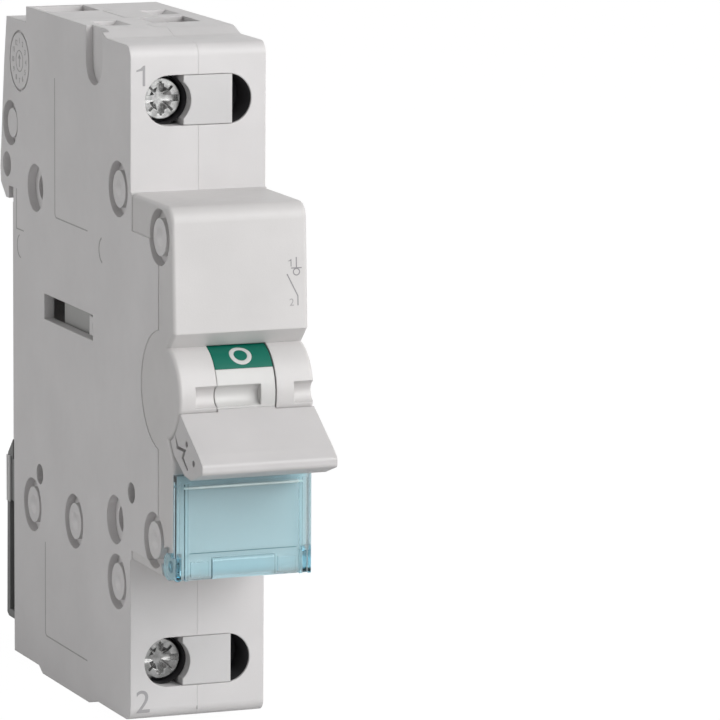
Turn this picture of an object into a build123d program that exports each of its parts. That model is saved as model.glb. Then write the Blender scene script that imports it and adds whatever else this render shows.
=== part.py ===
from build123d import *
import os
from math import cos, radians, sin

os.makedirs("parts", exist_ok=True)

# A single-pole switch disconnector, one module wide, that clips on a 35 mm rail.
# The origin is the centre of the face that sits on the rail. +Z is up and the front looks
# towards -Y. A "depth" is a distance forward of the rail seat, so it is minus Y.

# Overall sizes of the housing
MODULE_WIDTH = 17.5
SHOULDER_DEPTH = 44.8
NOSE_REACH = 15.05
NOSE_TOP = 22.85
NOSE_BOTTOM = -22.5
CROWN_TOP = 41.6
CROWN_BACK = 5.5
CROWN_SETBACK = 11.8
CROWN_DROP = 0.85
CROWN_RAMP = 3.3
HOOK_DROP = 2.0
BASE = -42.8
SOLE_DROP = 0.8
SIDE_WALL = 1.35
RIM_WALL = 2.2
SEAM = 0.12
SEAM_DEPTH = 0.25
EDGE_ROUND = 1.5

# Rail, and the raised land that rests on it
RAIL_HEIGHT = 35.0
RAIL_THICKNESS = 1.0
RAIL_PLAY = 0.3
HOOK_BITE = 1.3
HOOK_REACH = 5.0
LAND_HEIGHT = 0.2

# Pockets and marks moulded into the shells
SCALLOP_RADIUS = 2.98
SCALLOP_SINK = 0.9
TOP_POCKET_RADIUS = 2.0
TOP_POCKET_RISE = 0.95
TOP_POCKET_INSET = 2.4
REAR_POCKET_WALL = 0.75
REAR_POCKET_SINK = 1.3
TONGUE_REACH = 1.2
DIAL_RADIUS = 3.9
DIAL_GROOVE = 0.3
HOOK_RECESS_RADIUS = 2.9
HOOK_BOSS_RADIUS = 1.9
HOOK_HOLE_RADIUS = 1.6

# Front moulding and the drum shape that covers the toggle
FASCIA_INSET = 0.1
FASCIA_ROUND = 0.45
PARTING_SETBACK = 5.19
ARM_UPPER = 4.6
ARM_LOWER = 1.2
ARM_GAP = 0.5
NOSE_LEAN = 0.8
NOSE_ROUND = 2.0
FRONT_WALL = 1.5
DRUM_RADIUS = 5.9
EAR_RADIUS = 7.4
BEVEL_ANGLE = 71.0
BEVEL_TOP = 7.64
BEVEL_BOTTOM = -7.8
LOWER_FACE_SETBACK = 0.15

# Toggle
AXIS_SETBACK = 3.85
AXIS_HEIGHT = 0.2
ROTOR_GAP = 0.15
ROTOR_WIDTH = 7.4
ROTOR_SKIN = 0.75
ROTOR_SLIT = 4.0
TRUNNION_RADIUS = 1.6
RUNNING_FIT = 0.05
SWEEP_GAP = 0.3
TOGGLE_SWING = 76.0
HANDLE_INSET = 0.15
HANDLE_TOP_ANGLE = -15.6
HANDLE_LOW_ANGLE = -64.0
HANDLE_LENGTH = 13.7
HANDLE_TIP = -6.8
HANDLE_HEEL = -9.2
HANDLE_LIP = 1.1
HANDLE_ROUND = 0.5
HEEL_BACK = 3.9
HANDLE_SHIN = 2.35
TENON_ANGLES = (-57.0, -23.0)
CHEEK_SLOT = 0.4
CHEEK_SINK = 0.8
CRANK_RADIUS = 3.2
CRANK_PIN_RADIUS = 0.7
FLAG_DEPTH = 0.3
FLAG_ANGLES = (33.0, 74.0)
MARK_ANGLE = 52.0
RING_RADIUS = 1.4
RING_WIDTH = 0.56
GROOVE_HEIGHT = 2.6
GROOVE_DEPTH = 1.3
GROOVE_END = 2.1

# Sliding carriage and contacts
CARRIAGE_BACK = 15.0
CARRIAGE_BOTTOM = -1.0
CARRIAGE_TOP = 5.6
SIDE_PLAY = 0.5
GUIDE_PLAY = 0.15
ARM_HALF = 1.7
ARM_TOP = 1.6
FORK_TOP = 3.5
FORK_WALL = 0.62
FORK_PLAY = 0.12
BRIDGE_THICKNESS = 1.4
BRIDGE_HALF_LENGTH = 11.0
BRIDGE_HALF_WIDTH = 3.3
TIP_OFFSET = 9.0
TIP_THICKNESS = 0.8
TIP_RADIUS = 1.9
CONTACT_GAP_CLOSED = 0.06
CONTACT_SPRING_ROOM = 6.2
CONTACT_COIL_RADIUS = 1.6
SPRING_WIRE_RADIUS = 0.22
BUSBAR_THICKNESS = 1.2
BUSBAR_HALF_WIDTH = 3.5
BUSBAR_END = 2.6
RUN_TO_TERMINAL = (9.9, 8.7)

# Terminals
UPPER_TERMINAL = 33.9
LOWER_TERMINAL = -35.7
WELL_HALF_HEIGHT = 3.1
WELL_DEPTH = 4.8
SCREW_HEAD_RADIUS = 2.8
SCREW_HEAD_HEIGHT = 2.2
SCREW_RADIUS = 2.0
SCREW_SLOT = 0.8
SCREW_CROSS = 0.9
SCREW_NOTCH = 0.3
SCREW_SIDE_GAP = 0.15
HEAD_SEAT_GAP = 0.1
RETAINING_WALL = 1.7
CAGE_HALF_HEIGHT = 3.0
CAGE_NUT = 2.0
CAGE_BAR = 1.4
CAGE_SIDE = 0.9
CAGE_TRAVEL = 5.3
WIRE_ROOM = 6.5
INSERT_LEFT = 2.05
PROBE_ROOM = 2.5
ENTRY_SIDE = 1.1

# Label cover
COVER_THICKNESS = 1.15
COVER_PANE = 0.7
COVER_RIB = 0.4
COVER_EDGE_BAND = 1.1
COVER_ROLL_TOP = -19.6
COVER_TILE = 2.7
COVER_TOP = -9.3
COVER_BOTTOM = -22.2
COVER_GAP = 0.2
COVER_HINGE_SETBACK = 1.6
COVER_EAR_RADIUS = 1.65
COVER_EAR_WIDTH = 0.9
COVER_PIN_RADIUS = 0.7
COVER_PIN_LENGTH = 1.1

# Rail clip
CLIP_TRAVEL = 3.5
CLIP_BOTTOM = -38.9
CLIP_BACK = 3.8
CLIP_BITE = 2.2
CLIP_SIDE_INSET = 0.35
CLIP_STEM_HALF = 4.0
CLIP_HEAD_HALF = 5.5
CLIP_STEM_DEPTH = 1.5
CLIP_HEAD_DEPTH = 3.8
CLIP_HEAD_TOP = -19.5
CLIP_HEAD_BOTTOM = -34.5
CLIP_SPRING_RADIUS = 0.95
CLIP_RIB_GROOVE = 0.35
CLIP_LIP_RIBS = 8.3

# Stakes that hold the two shells together, and the round marks beside them
STAKE_RADIUS = 1.2
STAKE_HEAD_RADIUS = 2.3
STAKE_POST_RADIUS = 2.2
STAKE_RECESS_RADIUS = 3.45
RECESS_DEPTH = 1.1
HEAD_SINK = 0.15
DIMPLE_RADIUS = 1.2
DIMPLE_DEPTH = 0.35
SOCKET_RECESS_RADIUS = 3.05
SOCKET_RADIUS = 1.7
SOCKET_DEPTH = 3.6
PIN_HOLE_RADIUS = 1.3
SLOT_DEPTHS = (12.4, 31.0)
SLOT_HEIGHTS = (2.55, 5.81)
SLOT_STOP = 2.4
SLOT_STOP_SINK = 0.4

# Places that follow from the sizes above
HALF = MODULE_WIDTH / 2
INSIDE = HALF - SIDE_WALL
CROWN_FRONT = SHOULDER_DEPTH - CROWN_SETBACK
HOOK_TOP = CROWN_TOP - HOOK_DROP
NOSE_DEPTH = SHOULDER_DEPTH + NOSE_REACH
PARTING_DEPTH = NOSE_DEPTH - PARTING_SETBACK
ARM_BACK = SHOULDER_DEPTH + ARM_GAP
LOWER_FACE_DEPTH = NOSE_DEPTH - LOWER_FACE_SETBACK
AXIS_DEPTH = NOSE_DEPTH - AXIS_SETBACK
FASCIA_HALF = HALF - FASCIA_INSET
ROTOR_RADIUS = DRUM_RADIUS - ROTOR_GAP
ROTOR_HALF = ROTOR_WIDTH / 2
TRUNNION_END = INSIDE - SIDE_PLAY
HANDLE_HALF = HALF - HANDLE_INSET
HANDLE_REACH = AXIS_DEPTH + HANDLE_LENGTH
SLOT_HALF = ROTOR_HALF + SEAM
RAIL_EDGE = RAIL_HEIGHT / 2
CRANK_START = 90.0 - TOGGLE_SWING / 2
TRAVEL = 2 * CRANK_RADIUS * sin(radians(TOGGLE_SWING / 2))
CRANK_DEPTH = AXIS_DEPTH + CRANK_RADIUS * cos(radians(CRANK_START))
CRANK_HEIGHT = AXIS_HEIGHT + CRANK_RADIUS * sin(radians(CRANK_START))
CARRIAGE_HALF = INSIDE - SIDE_PLAY
CARRIAGE_FRONT = SHOULDER_DEPTH - 4 * GUIDE_PLAY
BRIDGE_MIDDLE = (CARRIAGE_TOP + CARRIAGE_BOTTOM) / 2
BRIDGE_BACK = CARRIAGE_BACK + 1.9
SPRING_END = BRIDGE_BACK + BRIDGE_THICKNESS + CONTACT_SPRING_ROOM
FIXED_TIP_FACE = BRIDGE_BACK - TIP_THICKNESS - TRAVEL - CONTACT_GAP_CLOSED
BUSBAR_FRONT = FIXED_TIP_FACE - TIP_THICKNESS
BUSBAR_BACK = BUSBAR_FRONT - BUSBAR_THICKNESS
UPPER_RUN = UPPER_TERMINAL - RUN_TO_TERMINAL[0]
LOWER_RUN = LOWER_TERMINAL + RUN_TO_TERMINAL[1]
WELL_FLOOR = SHOULDER_DEPTH - WELL_DEPTH
WELL_HALF_LENGTH = INSIDE - SIDE_PLAY
SCREW_X = SCREW_HEAD_RADIUS + SCREW_SIDE_GAP - WELL_HALF_LENGTH
INSERT_RIGHT = WELL_HALF_LENGTH - PROBE_ROOM
ENTRY_X = (0.0, INSIDE - ENTRY_SIDE)
WALL_BACK = WELL_FLOOR - RETAINING_WALL
CAGE_HALF = INSIDE - SIDE_PLAY
CAGE_FRONT = WALL_BACK - CAGE_TRAVEL - 2 * GUIDE_PLAY
NUT_BACK = CAGE_FRONT - CAGE_NUT
TAB_FRONT = NUT_BACK - 0.8
TAB_BACK = TAB_FRONT - BUSBAR_THICKNESS
BAR_FRONT = TAB_BACK - WIRE_ROOM
CAGE_BACK = BAR_FRONT - CAGE_BAR
CHAMBER_BACK = CAGE_BACK - 4 * GUIDE_PLAY
COVER_BACK = LOWER_FACE_DEPTH + COVER_GAP
COVER_FRONT = COVER_BACK + COVER_THICKNESS
COVER_HINGE_DEPTH = LOWER_FACE_DEPTH - COVER_HINGE_SETBACK
COVER_HINGE_HEIGHT = NOSE_BOTTOM + COVER_HINGE_SETBACK
CLIP_FACE = RAIL_THICKNESS + RAIL_PLAY
CLIP_HALF_WIDTH = HALF - CLIP_SIDE_INSET
CLIP_SPRING_FLOOR = CLIP_HEAD_BOTTOM - CLIP_TRAVEL - 2.0
LAND_BOTTOM = CLIP_BITE + 2 * GUIDE_PLAY - RAIL_EDGE
LAND_TOP = RAIL_EDGE - HOOK_BITE - 2 * GUIDE_PLAY
STAKES = ((SHOULDER_DEPTH - 4.45, 22.76), (NOSE_DEPTH - 4.91, NOSE_TOP - 4.04), (7.6, -22.25), (23.8, -21.5),
          (NOSE_DEPTH - 6.65, NOSE_BOTTOM + 4.0), (SHOULDER_DEPTH - 4.9, -26.15))
SIDE_SOCKETS = ((9.0, 18.85), (SHOULDER_DEPTH - 5.55, -18.5))
PIN_HOLES = ((10.5, -17.8), (SHOULDER_DEPTH + 0.4, -14.1))
SCALLOP = (CROWN_FRONT - 1.55, CROWN_TOP - 4.12)
TOP_POCKET_X = INSIDE - TOP_POCKET_INSET
DIAL = (CROWN_BACK - 2.7, HOOK_TOP - 5.25)
HOOK_MARK = (-0.9, RAIL_EDGE + 8.5)
HOOK_HOLE = (-2.3, RAIL_EDGE + 3.0)


def side_plane(x):
    """A plane seen from the left side, where across is depth and up is height."""
    return Plane(origin=(x, 0, 0), x_dir=(0, -1, 0), z_dir=(-1, 0, 0))


def ordered(hand, near, far):
    """The x range between two distances from the middle, on the left (-1) or right (1)."""
    return (near, far) if hand > 0 else (-far, -near)


def block(x, depth, z, mode=Mode.ADD):
    """A box between two x, two depths and two heights."""
    with Locations(((x[0] + x[1]) / 2, -(depth[0] + depth[1]) / 2, (z[0] + z[1]) / 2)):
        Box(x[1] - x[0], depth[1] - depth[0], z[1] - z[0], mode=mode)


def slab(points, x, mode=Mode.ADD):
    """A plate with an outline of (depth, height) points, between two x."""
    with BuildSketch(side_plane(x[1])) as outline:
        with BuildLine():
            Polyline(*points, close=True)
        make_face()
    extrude(outline.sketch, amount=x[1] - x[0], mode=mode)


def cross_bar(place, radius, x, mode=Mode.ADD):
    """A round bar along X at a (depth, height) place."""
    with Locations(Location(((x[0] + x[1]) / 2, -place[0], place[1]), (0, 90, 0))):
        Cylinder(radius, x[1] - x[0], mode=mode)


def forward_bar(place, radius, depth, mode=Mode.ADD):
    """A round bar along the depth at an (x, height) place."""
    with Locations(Location((place[0], -(depth[0] + depth[1]) / 2, place[1]), (90, 0, 0))):
        Cylinder(radius, depth[1] - depth[0], mode=mode)


def drum_wall(inner, outer, start, end, x, mode=Mode.ADD):
    """A curved wall about the toggle axis, between angles measured up from straight ahead."""
    middle = (AXIS_DEPTH, AXIS_HEIGHT)
    with BuildSketch(side_plane(x[1])) as outline:
        with BuildLine():
            outside = CenterArc(middle, outer, start, end - start)
            inside = CenterArc(middle, inner, start, end - start)
            Line(outside @ 0, inside @ 0)
            Line(outside @ 1, inside @ 1)
        make_face()
    extrude(outline.sketch, amount=x[1] - x[0], mode=mode)


def on_drum(radius, angle):
    """The (depth, height) of a point about the toggle axis."""
    return (AXIS_DEPTH + radius * cos(radians(angle)), AXIS_HEIGHT + radius * sin(radians(angle)))


def body_outline():
    """Side view of both shells: rail hook, crown, shoulders, nose stub and sole."""
    lip = -(RAIL_THICKNESS + 0.55)
    groove_top = RAIL_EDGE + RAIL_PLAY
    lip_end = RAIL_EDGE - HOOK_BITE
    shoulder_top = CROWN_TOP - CROWN_DROP
    ramp_end = CROWN_FRONT + CROWN_RAMP
    with BuildSketch(side_plane(0)) as outline:
        with BuildLine():
            Polyline((ramp_end, shoulder_top), (SHOULDER_DEPTH, shoulder_top), (SHOULDER_DEPTH, NOSE_TOP),
                     (PARTING_DEPTH, NOSE_TOP), (PARTING_DEPTH, NOSE_BOTTOM), (SHOULDER_DEPTH, NOSE_BOTTOM),
                     (SHOULDER_DEPTH, BASE), (32.6, BASE), (29.5, BASE - SOLE_DROP), (11.5, BASE - SOLE_DROP),
                     (9.9, BASE), (LAND_HEIGHT, BASE), (LAND_HEIGHT, LAND_BOTTOM), (0, LAND_BOTTOM),
                     (0, LAND_TOP), (LAND_HEIGHT, LAND_TOP), (LAND_HEIGHT, groove_top), (lip, groove_top),
                     (lip, lip_end),
                     (lip - 1.15, lip_end), (0.2 - HOOK_REACH, lip_end + 1.8), (-HOOK_REACH, 20.0),
                     (-3.3, 33.9), (-2.3, HOOK_TOP), (CROWN_BACK, HOOK_TOP), (CROWN_BACK, CROWN_TOP),
                     (CROWN_FRONT, CROWN_TOP))
            Spline((CROWN_FRONT, CROWN_TOP), (ramp_end, shoulder_top),
                   tangents=((1, 0), (1, -0.15)))
        make_face()
        fillet(outline.vertices().filter_by(lambda v: v.X > SHOULDER_DEPTH - 0.1 and abs(v.Y) > 30),
               EDGE_ROUND)
    return outline.sketch


def fascia_outline():
    """Side view of the front moulding, with its two arms and the ears round the toggle axis."""
    middle = (AXIS_DEPTH, AXIS_HEIGHT)
    with BuildSketch(side_plane(0)) as outline:
        with BuildLine():
            drum = CenterArc(middle, DRUM_RADIUS, BEVEL_ANGLE, -2 * BEVEL_ANGLE)
            Polyline(drum @ 1, (LOWER_FACE_DEPTH, BEVEL_BOTTOM), (LOWER_FACE_DEPTH, NOSE_BOTTOM),
                     (ARM_BACK, NOSE_BOTTOM), (ARM_BACK, NOSE_BOTTOM + ARM_LOWER),
                     (PARTING_DEPTH, NOSE_BOTTOM + ARM_LOWER), (PARTING_DEPTH, NOSE_TOP - ARM_UPPER),
                     (ARM_BACK, NOSE_TOP - ARM_UPPER), (ARM_BACK, NOSE_TOP),
                     (NOSE_DEPTH - NOSE_LEAN, NOSE_TOP), (NOSE_DEPTH, BEVEL_TOP), drum @ 0)
        make_face()
        with BuildLine():
            ear = CenterArc(middle, EAR_RADIUS, 90, 180)
            Line(ear @ 1, ear @ 0)
        make_face()
        fillet(outline.vertices().filter_by(lambda v: v.X > NOSE_DEPTH - 3 and v.Y > NOSE_TOP - 1),
               NOSE_ROUND)
        # The lower corner is round about the cover's hinge, so that the cover can swing
        hinge_corner = outline.vertices().filter_by(
            lambda v: v.X > LOWER_FACE_DEPTH - 0.1 and v.Y < NOSE_BOTTOM + 0.1)
        fillet(hinge_corner, LOWER_FACE_DEPTH - COVER_HINGE_DEPTH)
    return outline.sketch


body_profile = body_outline()
fascia_profile = fascia_outline()


def terminal(hand, level, outward):
    """What one terminal needs in a shell: its chamber, its solid tower and its cable entry."""
    chamber_end = level + outward * (CAGE_HALF_HEIGHT + 0.4)
    chamber_start = level - outward * (CAGE_HALF_HEIGHT + 1.6)
    tower = ordered(outward, abs(level) - 5.2, CROWN_TOP - CROWN_DROP - 0.3)
    block(ordered(hand, 0, INSIDE), (WALL_BACK, SHOULDER_DEPTH - 1), tower)
    block(ordered(hand, 0, INSIDE), (CHAMBER_BACK, WALL_BACK), sorted((chamber_start, chamber_end)),
          mode=Mode.SUBTRACT)


def terminal_cuts(level, outward):
    """The well in the shoulder, the screw hole, the probe hole and the cable entry."""
    with BuildSketch(Plane.XZ.offset(SHOULDER_DEPTH)) as well:
        with Locations((0, level)):
            SlotOverall(2 * WELL_HALF_LENGTH, 2 * WELL_HALF_HEIGHT)
    extrude(well.sketch, amount=-WELL_DEPTH, mode=Mode.SUBTRACT)
    forward_bar((SCREW_X, level), SCREW_RADIUS + 0.25, (WALL_BACK - 1, WELL_FLOOR + 1), Mode.SUBTRACT)
    forward_bar((INSERT_RIGHT - 0.6, level), WELL_HALF_HEIGHT - 0.9, (WALL_BACK - 1, WELL_FLOOR + 1),
                Mode.SUBTRACT)
    entry = ordered(outward, abs(level), CROWN_TOP + 2)
    block(ENTRY_X, (BAR_FRONT, TAB_BACK - 0.2), entry, Mode.SUBTRACT)


def round_marks(hand):
    """The stake recesses, sockets and pin holes that are moulded in each side."""
    face = ordered(hand, HALF - RECESS_DEPTH, HALF + 1)
    through = ordered(hand, -1, HALF + 1)
    for stake in STAKES:
        cross_bar(stake, STAKE_RECESS_RADIUS, face, Mode.SUBTRACT)
        cross_bar(stake, STAKE_RADIUS + RUNNING_FIT, through, Mode.SUBTRACT)
    for socket in SIDE_SOCKETS:
        cross_bar(socket, SOCKET_RECESS_RADIUS, face, Mode.SUBTRACT)
        cross_bar(socket, SOCKET_RADIUS, ordered(hand, HALF - SOCKET_DEPTH, HALF + 1), Mode.SUBTRACT)
    for hole in PIN_HOLES:
        cross_bar(hole, PIN_HOLE_RADIUS, ordered(hand, HALF - SOCKET_DEPTH, HALF + 1), Mode.SUBTRACT)


def top_pockets():
    """Core pockets in the crown: two with round floors and a square one at the back."""
    pocket_centre = CROWN_TOP + TOP_POCKET_RISE
    forward_bar((-TOP_POCKET_X, pocket_centre), TOP_POCKET_RADIUS, (CROWN_FRONT - 8.6, CROWN_FRONT - 3.0),
                Mode.SUBTRACT)
    forward_bar((TOP_POCKET_X, pocket_centre), TOP_POCKET_RADIUS, (CROWN_FRONT - 18.5, CROWN_FRONT - 13.2),
                Mode.SUBTRACT)
    block((REAR_POCKET_WALL - HALF, -1.4), (CROWN_BACK + 0.8, CROWN_BACK + 7.3),
          (CROWN_TOP - REAR_POCKET_SINK, CROWN_TOP + 1), Mode.SUBTRACT)


def crown_tongues(hand):
    """The right shell reaches over the middle in two places of the crown, and the left gives way."""
    for depth in ((CROWN_BACK + 8.0, BAR_FRONT - 0.6), (TAB_BACK + 1.0, CROWN_FRONT - 0.4)):
        if hand > 0:
            block((-TONGUE_REACH, 0), depth, (CROWN_TOP - RIM_WALL, CROWN_TOP))
        else:
            block((-TONGUE_REACH - SEAM, 0), (depth[0] - SEAM, depth[1] + SEAM),
                  (CROWN_TOP - RIM_WALL, CROWN_TOP + 1), Mode.SUBTRACT)


def seam_groove():
    """A fine groove along the joint of the shells, clear of the seat, cut in the right shell."""
    with BuildSketch(side_plane(SEAM)) as band:
        add(body_profile)
        offset(body_profile, amount=-SEAM_DEPTH, mode=Mode.SUBTRACT)
        with Locations((-HOOK_REACH, 0)):
            Rectangle(2 * (HOOK_REACH + 1), 2 * CROWN_TOP + 10, mode=Mode.SUBTRACT)
    extrude(band.sketch, amount=SEAM + 0.1, mode=Mode.SUBTRACT)


def side_marks(hand):
    """The hook's round marks on both sides, and the scallop and dial ring on the left."""
    cross_bar(HOOK_MARK, HOOK_RECESS_RADIUS, ordered(hand, HALF - RECESS_DEPTH, HALF + 1), Mode.SUBTRACT)
    cross_bar(HOOK_MARK, HOOK_BOSS_RADIUS, ordered(hand, HALF - RECESS_DEPTH - 0.1, HALF - 2 * HEAD_SINK))
    cross_bar(HOOK_HOLE, HOOK_HOLE_RADIUS, ordered(hand, HALF - RECESS_DEPTH, HALF + 1), Mode.SUBTRACT)
    if hand < 0:
        scallop = ordered(hand, HALF - SCALLOP_SINK, HALF + 1)
        cross_bar(SCALLOP, SCALLOP_RADIUS, scallop, Mode.SUBTRACT)
        block(scallop, (SCALLOP[0] - SCALLOP_RADIUS, SCALLOP[0] + SCALLOP_RADIUS),
              (SCALLOP[1], CROWN_TOP + 1), Mode.SUBTRACT)
        with BuildSketch(side_plane(DIAL_GROOVE - HALF)) as ring:
            with Locations(DIAL):
                Circle(DIAL_RADIUS)
                Circle(DIAL_RADIUS - DIAL_GROOVE, mode=Mode.SUBTRACT)
        extrude(ring.sketch, amount=1, mode=Mode.SUBTRACT)


def make_shell(hand):
    """One half of the housing: -1 is the left shell and 1 the right."""
    full = ordered(hand, 0, HALF)
    hollow = ordered(hand, 0, INSIDE)
    lift = HALF if hand < 0 else -HALF
    nose_low = NOSE_BOTTOM + ARM_LOWER + 1.2
    nose_high = NOSE_TOP - ARM_UPPER - 1.4
    front = SHOULDER_DEPTH - RIM_WALL
    top = CROWN_TOP - RIM_WALL
    bottom = BASE + RIM_WALL
    with BuildPart() as shell:
        extrude(body_profile, amount=lift)
        extrude(fascia_profile, amount=lift, mode=Mode.SUBTRACT)
        block(hollow, (RIM_WALL, front), (bottom, HOOK_TOP - RIM_WALL), Mode.SUBTRACT)
        block(hollow, (CROWN_BACK + RIM_WALL, CROWN_FRONT), (0, top), Mode.SUBTRACT)
        block(hollow, (front, PARTING_DEPTH), (nose_low, nose_high), Mode.SUBTRACT)
        # Solid regions inside: the clip guide, the terminals, stake posts and side sockets
        block(hollow, (RIM_WALL, CLIP_STEM_DEPTH + CLIP_HEAD_DEPTH + 2.0), (bottom, CLIP_HEAD_TOP + 3))
        terminal(hand, UPPER_TERMINAL, 1)
        terminal(hand, LOWER_TERMINAL, -1)
        for stake in STAKES:
            cross_bar(stake, STAKE_POST_RADIUS, ordered(hand, 0, HALF - RECESS_DEPTH))
        for socket in SIDE_SOCKETS:
            cross_bar(socket, SOCKET_RADIUS + 0.9, ordered(hand, HALF - SOCKET_DEPTH - 0.9, INSIDE))
        for hole in PIN_HOLES:
            cross_bar(hole, PIN_HOLE_RADIUS + 0.8, ordered(hand, HALF - SOCKET_DEPTH - 0.9, INSIDE))
        # Runners above and below the carriage, and pads behind the busbars
        runner = ordered(hand, 2.9, INSIDE)
        runner_depths = (BRIDGE_BACK + BRIDGE_THICKNESS + 1.2, CARRIAGE_FRONT + 0.5)
        block(runner, runner_depths, (CARRIAGE_TOP + GUIDE_PLAY, CARRIAGE_TOP + GUIDE_PLAY + 1.2))
        block(runner, runner_depths, (CARRIAGE_BOTTOM - GUIDE_PLAY - 1.2, CARRIAGE_BOTTOM - GUIDE_PLAY))
        shelf = ordered(hand, 2.0, INSIDE)
        block(shelf, (BUSBAR_BACK - 1.2, BUSBAR_BACK), (BRIDGE_MIDDLE + TIP_OFFSET - 2, UPPER_RUN))
        block(shelf, (BUSBAR_BACK - 1.2, BUSBAR_BACK), (LOWER_RUN, BRIDGE_MIDDLE - TIP_OFFSET + 2))
        block(shelf, (BUSBAR_BACK + 2, TAB_BACK - 1), (UPPER_RUN - 1.2, UPPER_RUN))
        block(shelf, (BUSBAR_BACK + 2, TAB_BACK - 1), (LOWER_RUN, LOWER_RUN + 1.2))
        # Bearing arms that close the trunnion slots from behind
        arm = ordered(hand, SLOT_HALF + SEAM, TRUNNION_END)
        web = ordered(hand, SLOT_HALF + SEAM, INSIDE)
        reach = (CARRIAGE_FRONT + 0.5, AXIS_DEPTH)
        arm_height = (AXIS_HEIGHT - TRUNNION_RADIUS + SEAM, AXIS_HEIGHT + TRUNNION_RADIUS - SEAM)
        block(arm, reach, arm_height)
        block(web, (reach[0], AXIS_DEPTH - EAR_RADIUS - SEAM), arm_height)
        cross_bar((AXIS_DEPTH, AXIS_HEIGHT), TRUNNION_RADIUS + RUNNING_FIT, arm, Mode.SUBTRACT)
        # Openings from outside
        terminal_cuts(UPPER_TERMINAL, 1)
        terminal_cuts(LOWER_TERMINAL, -1)
        round_marks(hand)
        block(ordered(hand, INSIDE - 1, HALF + 1), SLOT_DEPTHS, SLOT_HEIGHTS, Mode.SUBTRACT)
        slot_stop(hand)
        clip_room(hand)
        top_pockets()
        crown_tongues(hand)
        side_marks(hand)
        if hand > 0:
            seam_groove()
    return shell


def slot_stop(hand):
    """The small pierced stop at the front end of the side slot."""
    stop = ordered(hand, INSIDE, HALF - SLOT_STOP_SINK)
    middle = (SLOT_HEIGHTS[0] + SLOT_HEIGHTS[1]) / 2
    block(stop, (SLOT_DEPTHS[1] - SLOT_STOP, SLOT_DEPTHS[1]),
          (middle - SLOT_STOP / 2, middle + SLOT_STOP / 2))
    block(stop, (SLOT_DEPTHS[1] - SLOT_STOP / 2, SLOT_DEPTHS[1] - SLOT_STOP / 6),
          (middle - SLOT_STOP / 6, middle + SLOT_STOP / 6), Mode.SUBTRACT)


def clip_room(hand):
    """The groove behind the seat in which the rail clip slides."""
    block(ordered(hand, -1, CLIP_STEM_HALF + GUIDE_PLAY), (-1, CLIP_STEM_DEPTH + 1),
          (BASE - SOLE_DROP - 1, CLIP_HEAD_TOP + 0.5), Mode.SUBTRACT)
    block(ordered(hand, -1, CLIP_HEAD_HALF + GUIDE_PLAY),
          (CLIP_STEM_DEPTH - GUIDE_PLAY, CLIP_STEM_DEPTH + CLIP_HEAD_DEPTH + GUIDE_PLAY),
          (CLIP_SPRING_FLOOR, CLIP_HEAD_TOP + 0.5), Mode.SUBTRACT)


housing_left = make_shell(-1)
housing_left.part.label = "housing_left"
export_step(housing_left.part, "parts/housing_left.step")

housing_right = make_shell(1)
housing_right.part.label = "housing_right"
export_step(housing_right.part, "parts/housing_right.step")


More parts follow.
